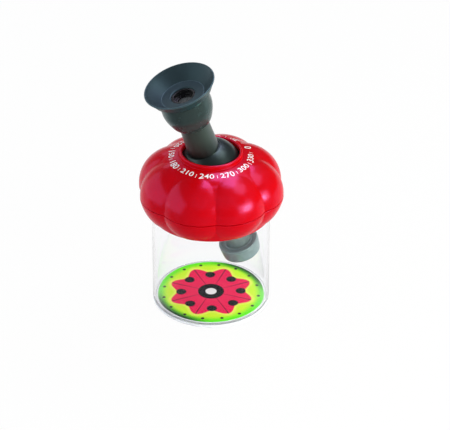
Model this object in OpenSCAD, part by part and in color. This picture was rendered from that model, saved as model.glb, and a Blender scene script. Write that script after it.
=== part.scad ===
// Bug catcher jar: a clear tumbler, a scalloped two-shell lid and a ball-jointed viewing tube.
// Millimetres. The jar stands on z = 0 and its axis is the Z axis.

/* [Jar] */
// Outer diameter of the clear jar
jar_d = 80; // [76:1:100]
// Thickness of the jar wall
jar_wall = 1.6; // [1.2:0.1:2.4]
// Height of the jar from the table to its mouth
jar_h = 82; // [64:1:120]
// Thickness of the jar floor
floor_t = 1.8; // [1:0.1:4]
// Height of the recess under the jar floor
foot_rise = 1; // [0.5:0.1:3]
// Width of the foot ring that the jar stands on
foot_w = 2.4; // [1.5:0.1:5]
// Rounding of the foot and of the corner inside the jar
foot_round = 0.9; // [0.4:0.1:1.4]
// Gap between the printed disc on the floor and the jar wall
print_gap = 1.7; // [1.4:0.1:10]
// Thickness of the printed disc
print_t = 0.4; // [0.2:0.1:1]

/* [Lid shells] */
// Number of scallops round the lid
lobes = 8; // [5:1:12]
// Turn of the first scallop about the jar axis
lobe_turn = 2.5; // [0:0.5:45]
// Overhang of the scallops past the jar wall
lid_over = 9.8; // [8:0.1:16]
// Depth of the grooves between the scallops at the parting line
groove_depth = 3.2; // [1:0.1:4.5]
// Height of the parting line between the two shells above the jar mouth
part_rise = 4.5; // [4:0.1:8]
// Radius of the balls that shape the upper scallops
lobe_ball = 28.4; // [24:0.1:34]
// Drop of their centres below the parting line
lobe_drop = 2.2; // [0:0.1:4]
// Radius of the balls that shape the lower scallops
low_ball = 23.7; // [20:0.1:30]
// Rise of their centres above the parting line
low_rise = 2.3; // [0:0.1:4]
// Width of the flat ring between the lip and the dome's curve
flat_w = 1; // [0.5:0.1:4]
// Height of the lower shell
skirt_h = 16.2; // [12:0.1:24]
// Overhang of the lid's lower edge past the jar wall
skirt_over = 1.3; // [0.8:0.1:5]
// Wall thickness of both shells
shell = 2; // [1.4:0.1:2.6]
// Half of the gap that shows as the parting line
part_gap = 0.2; // [0.1:0.05:0.5]
// How far the opening's edge stands inside the ball's widest circle
mouth_in = 2.3; // [1:0.1:2.6]
// Width of the raised lip round the opening
lip_w = 1.9; // [1:0.1:4]
// Height of the lip above the flat ring
lip_h = 3.2; // [2.4:0.1:6]

/* [Lid fittings] */
// Gap between the jar wall and the lid around it
lid_fit = 0.3; // [0.2:0.05:0.8]
// Wall of the sleeve that goes round the jar mouth
sleeve_t = 1.2; // [0.8:0.1:3]
// Thickness of the deck above the jar mouth
deck_t = 2; // [1.2:0.1:3]
// Depth of the plug ring that enters the jar
plug_h = 7; // [4:0.5:12]
// Wall of the plug ring
plug_t = 2.4; // [1.8:0.1:2.6]
// How far the deck's hole for the lower tube stands inside the ball's widest circle
deck_hole_in = 3.8; // [2.6:0.1:4.4]
// Section diameter of the seal ring on the plug
seal_d = 2; // [1:0.1:2.2]
// Number of screws that hold the two shells together
screws = 4; // [3:1:6]
// Share of the room between the socket and the plug ring that a screw's pillar takes
pillar_share = 0.74; // [0.6:0.01:0.9]
// Share of the pillar's width that the screw's head takes
head_share = 0.78; // [0.6:0.01:0.9]
// Share of the pillar's width that the screw's shank takes
shank_share = 0.41; // [0.3:0.01:0.5]
// Height of a screw head
screw_head_h = 1.6; // [1:0.1:3]
// Length of a screw shank
screw_l = 11; // [8:0.5:16]

/* [Ball joint] */
// Share of the jar's diameter that the swivel ball takes
ball_share = 0.535; // [0.48:0.005:0.6]
// Height of the ball's centre above the parting line
ball_rise = 15.5; // [13:0.1:20]
// Lean of the viewing tube away from the jar axis
lean = 18.4; // [0:0.1:19]
// Running clearance of the ball, the slip ring and the barrel
run_fit = 0.06; // [0.02:0.01:0.1]
// Half of the height of the slip ring
slip_half = 4.6; // [4:0.1:7]
// Wall of the slip ring at the ball's widest circle
slip_wall = 3.2; // [2.4:0.1:5]
// Wall of the socket round the slip ring
socket_t = 2; // [1.4:0.1:4]
// Height of the socket cap above the slip ring
cap_h = 3.4; // [3:0.1:6]
// Thickness of the socket cap's flange
cap_flange = 1.6; // [1:0.1:2.8]
// Gap between the socket cap and the dome above it
cap_room = 0.54; // [0.3:0.02:2]
// Wall of the hollow ball
ball_wall = 2; // [1.6:0.1:3]
// Wall of the neck at its upper end
neck_wall = 1; // [1:0.1:2]
// Widening of the neck from its upper end to the ball's centre
neck_spread = 1.6; // [1.2:0.1:2]
// Length of the neck above the ball
neck_l = 24.6; // [22:0.1:30]
// Section diameter of the focus ring inside the ball
focus_ring_d = 1.6; // [1:0.1:2]

/* [Viewing tube] */
// Outer radius of the barrel
barrel_r = 8.7; // [8.4:0.1:9.6]
// Wall of the barrel
barrel_t = 1.1; // [0.8:0.1:1.4]
// Height of the barrel's upper end above the neck
barrel_over = 6.4; // [5.6:0.1:9]
// How far the eyepiece body's lower end stands out from the neck
bulb_step = 1.9; // [1.4:0.1:3]
// Widening of the eyepiece body above its lower end
bulb_widen = 5.3; // [4:0.1:7]
// Length of the eyepiece body that goes over the neck
bulb_lap = 6.1; // [5:0.1:9]
// Depth of the eyepiece body above the barrel
chamber_h = 10.2; // [9:0.1:12]
// Widening of the eyecup from the eyepiece body to its rim
cup_flare = 7.1; // [5:0.1:10]
// Depth of the eyecup
cup_depth = 8.3; // [6:0.1:12]
// Wall of the eyecup at its rim
cup_t = 1.3; // [0.8:0.1:2.5]
// Height of the eyecup's flat floor above the eyepiece body
cup_floor_rise = 1; // [0.6:0.1:2]
// How far the edge of the eyecup's flat floor stands inside the eyepiece body's widest circle
cup_floor_in = 2.6; // [1:0.1:4]
// How far the lower edge of the eyecup's flared wall stands out from the eyepiece body
cup_skirt = 3.5; // [2:0.1:4]
// How far the eye lens's edge stands inside the barrel's bore
eye_lens_in = 1; // [0.7:0.1:2]
// Wall of the lens cell round the eye lens
cell_wall = 1.4; // [1:0.1:1.8]
// Thickness of the eye lens at its edge
eye_lens_edge = 1.6; // [1:0.1:2]
// Bulge of each face of the lenses
lens_bulge = 0.9; // [0.4:0.1:1]

/* [Objective] */
// How far the objective cap stands out from the barrel
obj_over = 5.3; // [4.6:0.1:6]
// Narrowing of the objective cap towards its lower end
obj_taper = 0.7; // [0.2:0.1:2]
// Distance of the objective's lower end below the ball
obj_drop = 53; // [44:0.5:54]
// Height of the objective cap
obj_h = 10; // [8:0.1:14]
// Wall of the objective cap round its lens
obj_wall = 2.7; // [2:0.1:3.2]
// Thickness of the objective lens at its edge
obj_lens_edge = 1.4; // [1:0.1:1.8]

/* [Hidden] */
$fn = 96;
half_share = 1 / 2;
half_turn = 180;
quarter_turn = 90;
eighth_turn = 45;
full_turn = 360;
cut = shell / 4;
// Clearance between two pieces that are glued or pressed together
glue_fit = run_fit * half_share;
jar_r = jar_d * half_share;
jar_in_r = jar_r - jar_wall;
floor_top = foot_rise + floor_t;
ball_d = jar_d * ball_share;
ball_r = ball_d * half_share;
// The lid's outlines follow the jar, and its dome and opening follow the ball
lid_r = jar_r + lid_over;
groove_r = lid_r - groove_depth;
skirt_r = jar_r + skirt_over;
part_z = jar_h + part_rise;
skirt_z = part_z - skirt_h;
ball_z = part_z + ball_rise;
dome_rise = ball_rise + slip_half + run_fit + cap_h + cap_room + shell;
mouth_r = ball_r - mouth_in;
lip_r = mouth_r + lip_w;
lip_rise = dome_rise + lip_h;
dome_top_r = lip_r + flat_w;
deck_hole_r = ball_r - deck_hole_in;
slip_r = ball_r + slip_wall;
hollow_r = ball_r + run_fit;
housing_in = slip_r + run_fit;
housing_out = housing_in + socket_t;
seal_share = 0.35;
plug_r = jar_in_r - seal_d * seal_share;
// The screws stand midway between the socket and the plug ring
screw_room = plug_r - plug_t - housing_out;
screw_at = housing_out + screw_room * half_share;
pillar_d = screw_room * pillar_share;
screw_head_d = pillar_d * head_share;
screw_d = pillar_d * shank_share;
// Distances on the viewing tube are along its axis from the ball's centre
neck_top = ball_r + neck_l;
neck_top_r = barrel_r + neck_wall;
neck_foot_r = neck_top_r + neck_spread;
barrel_top = neck_top + barrel_over;
bulb_foot = neck_top - bulb_lap;
bulb_top = barrel_top + chamber_h;
bulb_foot_r = neck_top_r + bulb_step;
bulb_r = bulb_foot_r + bulb_widen;
cup_floor = bulb_top + cup_floor_rise;
cup_top = cup_floor + cup_depth;
cup_r = bulb_r + cup_flare;
cup_floor_r = bulb_r - cup_floor_in;
barrel_in = barrel_r - barrel_t;
eye_lens_r = barrel_in - eye_lens_in;
eye_hole_r = eye_lens_r + cell_wall;
obj_r = barrel_r + obj_over;
obj_foot_r = obj_r - obj_taper;
obj_foot = ball_r + obj_drop;
obj_lens_r = obj_foot_r - obj_wall;
curve_steps = 9;
round_steps = 4;
corner_steps = 2;
lobe_step = full_turn / lobes;

// Points of an arc about a centre, from one angle to another
function arc(x, z, r, from, to, steps) =
    [for (i = [0 : steps]) let (a = from + (to - from) * i / steps) [x + r * cos(a), z + r * sin(a)]];
// Shares of the rise and of the widening that set the dome's outline in its grooves
dome_high_shares = [0, 0.33, 0.58, 0.84, 0.965, 1];
dome_wide_shares = [1, 0.94, 0.79, 0.55, 0.27, 0];
// The same for the lower shell, from its lower edge up to the parting line
skirt_high_shares = [0, 0.25, 0.5, 0.75, 1];
skirt_wide_shares = [0, 0.34, 0.62, 0.84, 1];

module spin(points) { rotate_extrude() polygon(points); }
module ring(inner, outer, low, high) {
    translate([0, 0, low]) difference() {
        cylinder(r = outer, h = high - low);
        translate([0, 0, -cut]) cylinder(r = inner, h = high - low + cut * 2);
    }
}
// Balls of one size round the jar axis: each shapes one scallop, out to the widest radius
module lobe_balls(r, z) {
    side = sqrt(r * r - (z - part_z) * (z - part_z));
    for (i = [0 : lobes - 1]) rotate([0, 0, lobe_turn + i * lobe_step])
        translate([lid_r - side, 0, z]) sphere(r = r);
}
module at_screws() {
    for (i = [0 : screws - 1]) rotate([0, 0, lobe_turn + i * full_turn / screws])
        translate([screw_at, 0, 0]) children();
}
// Everything on the viewing tube is drawn about the ball's centre and leans with it
module on_tube() { translate([0, 0, ball_z]) rotate([0, -lean, 0]) children(); }

module jar() {
    inner_corner = jar_in_r - foot_round;
    lip_round = jar_wall * half_share;
    color([0.9, 0.92, 0.96, 0.35]) spin(concat(
        [[0, foot_rise], [jar_r - foot_w, foot_rise], [jar_r - foot_w, 0]],
        arc(jar_r - foot_round, foot_round, foot_round, -quarter_turn, 0, round_steps),
        arc(jar_r - lip_round, jar_h - lip_round, lip_round, 0, half_turn, round_steps),
        arc(inner_corner, floor_top + foot_round, foot_round, 0, -quarter_turn, round_steps),
        [[0, floor_top]]));
}
module floor_print() {
    color("limegreen") translate([0, 0, floor_top]) cylinder(r = jar_in_r - print_gap, h = print_t);
}

// The dome: a core of revolution that fills the grooves between the scallops
groove_wall = 1.7;
module dome_solid(inset, low) {
    last = len(dome_high_shares) - 1;
    spin(concat(
        [[0, low], [groove_r - inset, low]],
        [for (i = [0 : last])
            [dome_top_r + (groove_r - dome_top_r) * dome_wide_shares[i] - inset,
             part_z + (dome_rise - inset) * dome_high_shares[i]]],
        [[0, part_z + dome_rise - inset]]));
}
// Depth of the conical relief under the opening, and how much it widens
relief = 2.7;
relief_share = 0.75;
relief_z = part_z + dome_rise - shell - cut;
pillar_z = jar_h + deck_t;
pillar_h = part_z + dome_rise - pillar_z - shell * 2;
module lid_dome() {
    lip_mid = (mouth_r + lip_r) * half_share;
    lip_round = (lip_r - mouth_r) * half_share;
    lip_z = part_z + lip_rise - lip_round;
    lip_foot = part_z + dome_rise - shell;
    color("crimson") difference() {
        union() {
            difference() {
                union() {
                    dome_solid(0, part_z - shell);
                    lobe_balls(lobe_ball, part_z - lobe_drop);
                }
                translate([0, 0, part_z + part_gap - lobe_ball * 2])
                    cylinder(r = lid_r + shell, h = lobe_ball * 2);
                dome_solid(groove_wall, part_z - shell * 2);
            }
            spin(concat([[mouth_r - cut, lip_foot], [lip_r, lip_foot]],
                arc(lip_mid, lip_z, lip_round, 0, half_turn, curve_steps), [[mouth_r - cut, lip_z]]));
            at_screws() translate([0, 0, pillar_z]) cylinder(d = pillar_d, h = pillar_h);
        }
        translate([0, 0, lip_foot - shell]) cylinder(r = mouth_r, h = lip_rise);
        translate([0, 0, relief_z]) cylinder(r1 = mouth_r + relief * relief_share, r2 = mouth_r, h = relief);
        at_screws() translate([0, 0, pillar_z - cut]) cylinder(d = screw_d + run_fit * 2, h = screw_l + cut);
    }
}

module skirt_solid(inset, low) {
    last = len(skirt_high_shares) - 1;
    spin(concat(
        [[0, low]],
        [for (i = [0 : last])
            [skirt_r + (groove_r - skirt_r) * skirt_wide_shares[i] - inset,
             i == 0 ? low : skirt_z + (part_z - skirt_z) * skirt_high_shares[i]]],
        [[groove_r - inset, part_z + tongue_h], [0, part_z + tongue_h]]));
}
sleeve_in = jar_r + lid_fit;
sleeve_out = sleeve_in + sleeve_t;
// Height of the rim inside the parting line that keeps the shells in line
tongue_h = 2.4;
// Gap between that rim and the dome
tongue_gap = 0.15;
// Wall of that rim
tongue_t = 1.2;
// How far the dome's inner wall leans in over the height of that rim
tongue_share = tongue_h / ((dome_rise - groove_wall) * dome_high_shares[1]);
tongue_lean = (groove_r - dome_top_r) * (1 - dome_wide_shares[1]) * tongue_share;
tongue_r = groove_r - groove_wall - tongue_lean - tongue_gap;
seal_z = jar_h - plug_h * half_share;
module lid_skirt() {
    color("crimson") difference() {
        union() {
            difference() {
                union() {
                    skirt_solid(0, skirt_z);
                    lobe_balls(low_ball, part_z + low_rise);
                }
                // The pocket between the outer wall and the sleeve round the jar
                difference() {
                    skirt_solid(groove_wall, skirt_z - cut);
                    translate([0, 0, skirt_z - shell]) cylinder(r = sleeve_out, h = part_z);
                }
                translate([0, 0, pillar_z]) cylinder(r = sleeve_out + cut, h = part_z);
                translate([0, 0, part_z - part_gap]) cylinder(r = lid_r + shell, h = part_z);
                translate([0, 0, skirt_z - low_ball]) cylinder(r = lid_r, h = low_ball);
            }
            ring(tongue_r - tongue_t, tongue_r, part_z - shell * 3, part_z + tongue_h);
        }
        // The sleeve's bore below the deck, round the plug ring
        ring(plug_r, sleeve_in, skirt_z - cut, jar_h);
        translate([0, 0, skirt_z - cut]) cylinder(r = plug_r + cut, h = jar_h - plug_h - skirt_z + cut);
        translate([0, 0, skirt_z - cut]) cylinder(r = plug_r - plug_t, h = jar_h - skirt_z + cut);
        translate([0, 0, skirt_z]) cylinder(r = deck_hole_r, h = part_z - skirt_z + tongue_h);
        seal_groove();
        at_screws() translate([0, 0, jar_h - cut]) cylinder(d = screw_d + screw_slack, h = deck_t + cut * 2);
    }
}
screw_slack = 0.4;
module seal_groove() {
    half = seal_d * half_share + glue_fit;
    ring(seal_centre - half, jar_in_r, seal_z - half, seal_z + half);
}
seal_centre = jar_in_r - run_fit * half_share - seal_d * half_share;
module seal_ring() {
    color("dimgray") rotate_extrude() translate([seal_centre, seal_z]) circle(d = seal_d);
}
slot_share = 0.45;
slot_w = 0.8;
module lid_screws() {
    color("silver") at_screws() translate([0, 0, jar_h]) difference() {
        union() {
            translate([0, 0, -screw_head_h]) cylinder(d = screw_head_d, h = screw_head_h);
            cylinder(d = screw_d, h = screw_l);
        }
        translate([-screw_head_d, -slot_w * half_share, -screw_head_h - cut])
            cube([screw_head_d * 2, slot_w, screw_head_h * slot_share + cut]);
    }
}

// The socket: a seat and a cap on the lid, with the slip ring turning between them
slip_low = ball_z - slip_half;
slip_high = ball_z + slip_half;
module hollow() { translate([0, 0, ball_z]) sphere(r = hollow_r); }
// How far the seat's inner edge stands outside the hole in the deck
seat_step = 0.4;
module socket_seat() {
    color([0.2, 0.22, 0.23]) difference() {
        translate([0, 0, pillar_z]) cylinder(r = housing_out, h = slip_high - pillar_z + run_fit);
        hollow();
        translate([0, 0, slip_low - run_fit]) cylinder(r = housing_in, h = slip_high);
        translate([0, 0, pillar_z - cut]) cylinder(r = deck_hole_r + seat_step, h = ball_z - pillar_z);
    }
}
module socket_cap() {
    low = slip_high + run_fit;
    color([0.2, 0.22, 0.23]) difference() {
        translate([0, 0, low]) union() {
            cylinder(r = housing_out, h = cap_flange);
            cylinder(r = housing_in - socket_t, h = cap_h);
        }
        hollow();
    }
}
module slip_ring() {
    color("black") difference() {
        translate([0, 0, slip_low]) cylinder(r = slip_r, h = slip_half * 2);
        hollow();
    }
}

// The ball: an upper half with the neck, and a lower half pressed into it
bore_r = barrel_r + run_fit;
sleeve_r = bore_r + barrel_t;
ring_half = focus_ring_d * half_share;
spigot_h = 2;
module ball_neck() {
    color([0.27, 0.3, 0.3]) on_tube() difference() {
        union() {
            difference() {
                sphere(r = ball_r);
                sphere(r = ball_r - ball_wall);
            }
            cylinder(r1 = neck_foot_r, r2 = neck_top_r, h = neck_top);
        }
        translate([0, 0, -ball_d]) cylinder(r = ball_d, h = ball_d);
        translate([0, 0, -cut]) cylinder(r = bore_r, h = ball_d * 2);
        translate([0, 0, -cut]) cylinder(r = bore_r + focus_ring_d, h = ring_half + cut);
        translate([0, 0, -cut]) cylinder(r = ball_r - ball_wall * half_share, h = spigot_h + cut);
    }
}
module ball_base() {
    color([0.27, 0.3, 0.3]) on_tube() difference() {
        union() {
            difference() {
                sphere(r = ball_r);
                sphere(r = ball_r - ball_wall);
                cylinder(r = ball_d, h = ball_d);
            }
            translate([0, 0, -ball_r + ball_wall]) cylinder(r = sleeve_r + barrel_t, h = ball_r - ball_wall);
            ring(ball_r - ball_wall - cut, ball_r - ball_wall * half_share - run_fit,
                 -spigot_h, spigot_h - run_fit);
        }
        translate([0, 0, -ball_d]) cylinder(r = bore_r, h = ball_d * 2);
        translate([0, 0, -ring_half]) cylinder(r = bore_r + focus_ring_d, h = ring_half + cut);
    }
}
module focus_ring() {
    color("black") on_tube() rotate_extrude()
        translate([barrel_r + run_fit * half_share + ring_half, 0]) circle(d = focus_ring_d - run_fit);
}

// The optical tube: barrel, eyepiece and objective slide together through the ball
barrel_share = 0.42;
barrel_foot = obj_foot - obj_h * barrel_share;
module barrel() {
    color([0.3, 0.33, 0.33]) on_tube() ring(barrel_in, barrel_r, -barrel_foot, barrel_top);
}
// Shares of the eyepiece body's height and widening that set its outline
bulb_high_shares = [0, 0.057, 0.154, 0.29, 0.45, 0.6, 0.78, 1];
bulb_wide_shares = [0, 0.14, 0.415, 0.65, 0.885, 1, 0.99, 0.965];
web_t = 2;
neck_room = 0.6;
chamber_r = bulb_r - shell;
bulb_edge = 0.5;
module eyepiece_body() {
    high = bulb_top - bulb_foot;
    wide = bulb_r - bulb_foot_r;
    web = barrel_top - web_t;
    color([0.3, 0.33, 0.33]) on_tube() difference() {
        spin(concat([[0, bulb_foot], [bulb_foot_r - bulb_edge, bulb_foot]],
            [for (i = [1 : len(bulb_high_shares) - 1])
                [bulb_foot_r + wide * bulb_wide_shares[i], bulb_foot + high * bulb_high_shares[i]]],
            [[0, bulb_top]]));
        translate([0, 0, bulb_foot - cut]) cylinder(r = neck_top_r + neck_room, h = web - bulb_foot + cut);
        translate([0, 0, bulb_foot]) cylinder(r = barrel_r + glue_fit, h = high);
        translate([0, 0, barrel_top]) cylinder(r = chamber_r, h = high);
    }
}
// The soft eyecup: a thick floor let into the eyepiece body, and a flared wall with a rounded rim
spigot_r = chamber_r - glue_fit;
spigot_l = 2.6;
cup_seat_in = 0.3;
cup_seat_r = bulb_r - cup_seat_in;
// Rise of the wall's underside for each millimetre outwards, and the rounding of its lower edge
skirt_rise = 0.78;
skirt_edge = 0.5;
module eyecup() {
    rim = cup_t * half_share;
    edge_r = bulb_r + cup_skirt;
    edge_z = bulb_top + cup_skirt * skirt_rise;
    color([0.22, 0.27, 0.3]) on_tube() spin(concat(
        [[eye_hole_r, bulb_top - spigot_l], [spigot_r, bulb_top - spigot_l], [spigot_r, bulb_top],
         [cup_seat_r, bulb_top]],
        arc(edge_r - skirt_edge, edge_z + skirt_edge, skirt_edge, -eighth_turn, 0, corner_steps),
        arc(cup_r - rim, cup_top - rim, rim, 0, half_turn, curve_steps),
        [[cup_floor_r, cup_floor], [eye_hole_r, cup_floor]]));
}

// The black lens cell: steps down to the eye lens, which the spacer holds up against it
cell_r = eye_hole_r - glue_fit;
cell_drop = 0.8;
cell_top = cup_floor - cell_drop;
cell_flange_t = 1.4;
cell_in = eye_lens_r + glue_fit;
// Height of the eye lens's flat face above the barrel, and the room above the lens's edge
eye_lens_rise = 3.4;
cell_room = 0.4;
eye_lens_at = barrel_top + eye_lens_rise;
cell_step = eye_lens_at + eye_lens_edge + cell_room;
cell_step_h = 1.1;
// How far the cell's edge laps over the eye lens
cell_lap = 1.4;
cell_hole_r = eye_lens_r - cell_lap;
cell_widen = 0.75;
module lens_cell() {
    color([0.08, 0.08, 0.08]) on_tube() difference() {
        union() {
            translate([0, 0, barrel_top]) cylinder(r = chamber_r - glue_fit, h = cell_flange_t);
            translate([0, 0, barrel_top]) cylinder(r = cell_r, h = cell_top - barrel_top);
        }
        translate([0, 0, barrel_top - cut]) cylinder(r = cell_in, h = cell_step - barrel_top + cut);
        translate([0, 0, barrel_top]) cylinder(r = cell_hole_r, h = cell_top);
        translate([0, 0, cell_step + cell_step_h]) cylinder(r = cell_hole_r + cell_widen, h = cell_top);
        translate([0, 0, cell_step + cell_step_h * 2])
            cylinder(r = cell_hole_r + cell_widen * 2, h = cell_top);
    }
}
// A lens with one flat face at z = 0 and one bulged face above it
module flat_lens(r, edge) {
    bend = (r * r + lens_bulge * lens_bulge) / (lens_bulge * 2);
    intersection() {
        cylinder(r = r, h = edge + lens_bulge + cut);
        translate([0, 0, edge + lens_bulge - bend]) sphere(r = bend, $fn = full_turn);
    }
}
module eye_lens() {
    color([0.8, 0.85, 0.85, 0.4]) on_tube() translate([0, 0, eye_lens_at])
        flat_lens(eye_lens_r, eye_lens_edge);
}
spacer_t = 1;
// Drop of the field lens's flat face below the barrel's upper end
field_drop = 8;
field_at = barrel_top - field_drop;
module lens_spacer() {
    color([0.1, 0.1, 0.1]) on_tube() ring(eye_lens_r - spacer_t, eye_lens_r, field_at, eye_lens_at);
}
field_r = barrel_in - glue_fit;
module field_lens() {
    color([0.8, 0.85, 0.85, 0.4]) on_tube() translate([0, 0, field_at]) mirror([0, 0, 1])
        flat_lens(field_r, eye_lens_edge);
}
stop_h = 3;
stop_t = 0.8;
stop_gap = 0.3;
stop_hole_r = 5;
module field_stop() {
    high = field_at - eye_lens_edge - stop_gap;
    color([0.1, 0.1, 0.1]) on_tube() {
        ring(field_r - stop_t, field_r, high - stop_h, high);
        ring(stop_hole_r, field_r - stop_t, high - stop_h, high - stop_h + stop_t);
    }
}

// The objective cap: a ridge round its shoulder, the barrel in its bore and the lens under it
ridge_h = 1;
ridge_t = 2.6;
obj_edge = 0.8;
obj_step = 0.6;
obj_step_r = barrel_r - obj_step;
obj_step_t = 0.8;
// Share of the cap's height at its widest level
obj_wide_share = 0.8;
obj_top = -obj_foot + obj_h;
lens_face = -barrel_foot - obj_step_t;
module objective_cap() {
    ridge = ridge_t * half_share;
    color([0.5, 0.55, 0.55]) on_tube() difference() {
        spin(concat(
            [[0, -obj_foot], [obj_foot_r - obj_edge, -obj_foot]],
            arc(obj_foot_r - obj_edge, -obj_foot + obj_edge, obj_edge, -eighth_turn, 0, corner_steps),
            [[obj_r, -obj_foot + obj_h * obj_wide_share]],
            arc(obj_r - ridge, obj_top - ridge, ridge,
                eighth_turn * half_share, half_turn - eighth_turn, curve_steps),
            [[obj_r - ridge_t - ridge_h * half_share, obj_top - ridge_h], [0, obj_top - ridge_h]]));
        translate([0, 0, -barrel_foot]) cylinder(r = barrel_r + glue_fit, h = obj_h);
        translate([0, 0, -obj_foot]) cylinder(r = obj_step_r, h = obj_h);
        translate([0, 0, -obj_foot - cut])
            cylinder(r = obj_lens_r + glue_fit, h = obj_foot + lens_face + cut);
    }
}
module objective_lens() {
    color([0.8, 0.85, 0.85, 0.4]) on_tube() translate([0, 0, lens_face]) mirror([0, 0, 1])
        flat_lens(obj_lens_r, obj_lens_edge);
}
obj_ring_t = 1.6;
module objective_ring() {
    color([0.2, 0.22, 0.22]) on_tube()
        ring(obj_lens_r - obj_ring_t, obj_lens_r, -obj_foot + glue_fit, lens_face - obj_lens_edge - stop_gap);
}

jar();
floor_print();
lid_dome();
lid_skirt();
seal_ring();
lid_screws();
socket_seat();
socket_cap();
slip_ring();
ball_neck();
ball_base();
focus_ring();
barrel();
eyepiece_body();
eyecup();
lens_cell();
eye_lens();
lens_spacer();
field_lens();
field_stop();
objective_cap();
objective_lens();
objective_ring();
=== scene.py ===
"""Bug catcher jar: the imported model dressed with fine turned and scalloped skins, moulded plastic
finishes, a printed floor disc and a plain white studio. The jar's sizes are in millimetres until a mesh
or a material is made, and the studio's are in metres."""
import math

import bmesh
import bpy
import numpy as np
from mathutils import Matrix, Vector


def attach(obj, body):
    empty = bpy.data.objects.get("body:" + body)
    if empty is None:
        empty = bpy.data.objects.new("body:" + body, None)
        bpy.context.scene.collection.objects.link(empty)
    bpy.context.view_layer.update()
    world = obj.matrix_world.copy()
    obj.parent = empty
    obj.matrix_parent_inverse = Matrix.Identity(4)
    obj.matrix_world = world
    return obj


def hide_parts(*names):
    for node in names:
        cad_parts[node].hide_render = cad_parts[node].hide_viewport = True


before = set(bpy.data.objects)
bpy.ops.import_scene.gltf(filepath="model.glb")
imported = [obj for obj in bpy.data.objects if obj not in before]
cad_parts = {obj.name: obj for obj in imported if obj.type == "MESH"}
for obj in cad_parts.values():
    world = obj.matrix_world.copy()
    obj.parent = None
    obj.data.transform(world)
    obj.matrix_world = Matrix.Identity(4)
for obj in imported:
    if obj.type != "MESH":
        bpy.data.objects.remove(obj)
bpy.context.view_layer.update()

MM = 0.001

# The jar, and the printed disc with the heights between which its white back gives way to the print
JAR_R, JAR_WALL, JAR_FOOT_R = 40.0, 1.6, 37.6
JAR_INNER_R = JAR_R - JAR_WALL
JAR_H, JAR_FLOOR_Z, JAR_UNDER_Z = 82.0, 2.8, 1.0
JAR_COLUMNS = 160
DISC_R = 36.7
DISC_BACK_Z = (2.84, 2.92)

# The lid's scallops
LOBES = 8
LOBE_TURN = math.radians(2.5)
HALF_LOBE = math.pi / LOBES
LOBE_CENTRE_R = 22.0
GROOVE_ROUND = math.radians(0.35)
GROOVE_MEETING = 0.12
LOBE_COLUMNS = 40
LID_COLUMNS = LOBES * LOBE_COLUMNS

# The lid's two shells, which part at PART_Z with a gap of twice PART_HALF_GAP, and the lid's clearance
# round the jar's mouth and inside it
PART_Z, PART_HALF_GAP = 86.5, 0.2
PART_EDGE = 0.35
DOME_CORE_R, DOME_REACH, DOME_RISE, DOME_POWER = 14.35, 35.41, 26.51, 2.2
DOME_GROOVE, DOME_GROOVE_FADE = 3.2, (26.0, 36.0)
DOME_WALL = 1.7
SKIRT_CORE_R, SKIRT_REACH, SKIRT_DROP, SKIRT_POWER = 41.0, 8.8, 16.2, 1.46
SKIRT_GROOVE_R, SKIRT_GROOVE_POWER = (41.3, 46.6), 1.4
SKIRT_LOW_Z = PART_Z - SKIRT_DROP
SLEEVE_CLEAR, PLUG_CLEAR = 0.3, 0.7

# The white marks round the opening
MARKS = 24
MARK_R, MARK_BEND_R = 27.2, 27.0
NUMBER_SIZE, STROKE_SIZE = 6.8, 3.4
MARK_SWELL, MARK_LIFT = 0.06, 0.07
MARK_SIDE, MARK_CUTS = 0.6, 4

# The viewing tube: radii, and distances (S) along the tube from the ball's centre. SNUG is the gap round
# parts that are pressed together, HOLDER_R the bores that hold the barrel, and INSERT_R what sits in the
# bulb's bore
LEAN = math.radians(18.4)
BALL_Z = 102.0
BALL_R, BALL_HOLLOW_R, BALL_TOP_S = 21.4, 19.4, 18.1
NECK_BORE_R, NECK_TOP_S = 8.76, 46.0
BARREL_R, BARREL_BORE_R = 8.7, 7.6
BARREL_LOW_S, BARREL_TOP_S = -70.2, 52.4
SNUG = 0.03
HOLDER_R = BARREL_R + SNUG
BULB_LOW_S, BULB_TOP_S, BULB_BORE_R = 39.9, 62.6, 14.9
INSERT_R = BULB_BORE_R - SNUG
CUP_LOW_S, CUP_TOP_S, CUP_HOLE_R = 60.0, 71.87, 8.0
OBJECTIVE_LOW_S = -74.4
TUBE_COLUMNS = 128


# Outlines and skins

CUT_SHARE = 0.49
SAME_POINT = 1e-4


def soft_outline(corners, steps=6):
    """Open outline (r, z) with rounded corners. Each corner is (r, z, cut): the curve leaves one side at
    the distance cut before the corner and meets the next side at the same distance after it, as a
    quadratic curve with the corner as its pull point. A cut takes less than half of either side."""
    table = np.array([(c + (0.0,))[:3] for c in corners], float)
    points, cuts = table[:, :2], table[1:-1, 2]
    into = points[1:-1] - points[:-2]
    out = points[2:] - points[1:-1]
    into_length = np.linalg.norm(into, axis=1)
    out_length = np.linalg.norm(out, axis=1)
    reach = np.minimum(cuts, CUT_SHARE * np.minimum(into_length, out_length))[:, None]
    start = points[1:-1] - into / into_length[:, None] * reach
    end = points[1:-1] + out / out_length[:, None] * reach
    t = np.linspace(0, 1, steps)[None, :, None]
    curve = (1 - t) ** 2 * start[:, None] + 2 * t * (1 - t) * points[1:-1][:, None] + t ** 2 * end[:, None]
    line = np.vstack([points[:1], curve.reshape(-1, 2), points[-1:]])
    keep = np.r_[True, np.linalg.norm(np.diff(line, axis=0), axis=1) > SAME_POINT]
    return braced(line[keep])


def braced(line, gap=0.2):
    """Adds a point near each end of every side over five gaps long, so that smooth shading stays flat
    along the side and a clear wall bends light evenly."""
    start, end = line[:-1], line[1:]
    length = np.linalg.norm(end - start, axis=1)[:, None]
    step = (end - start) * gap / length
    rows = np.stack([start, start + step, end - step], axis=1)
    long = (length > 5 * gap).repeat(3, axis=1) | np.array([[True, False, False]])
    return np.vstack([rows.reshape(-1, 2)[long.reshape(-1)], line[-1:]])


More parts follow.
